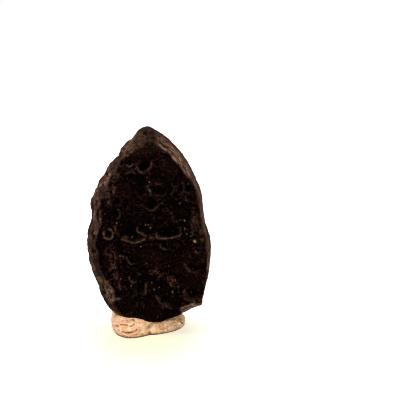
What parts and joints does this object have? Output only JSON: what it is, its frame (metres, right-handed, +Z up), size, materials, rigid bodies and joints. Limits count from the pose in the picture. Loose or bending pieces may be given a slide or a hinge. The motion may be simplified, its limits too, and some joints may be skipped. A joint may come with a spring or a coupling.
{
  "type": "tektite",
  "caption": "Pointed, flattened tektite of black natural glass with a pitted face, stood upright in a pressed lump of pale putty.",
  "frame": {"origin": "on the surface that the putty stands on, under the middle of the whole specimen's box", "axes": "+Z up along the stone, through its tip; the stone's flat front face looks along -Y; +X to the right seen from the front"},
  "size_m": [0.0176, 0.0104, 0.0295],
  "materials": {
    "black_glass": "satin natural glass, worn and pitted",
    "putty": "matte, kneaded"
  },
  "bodies": {
    "root": {"tektite": "black_glass", "putty": "putty"}
  },
  "joints": []
}
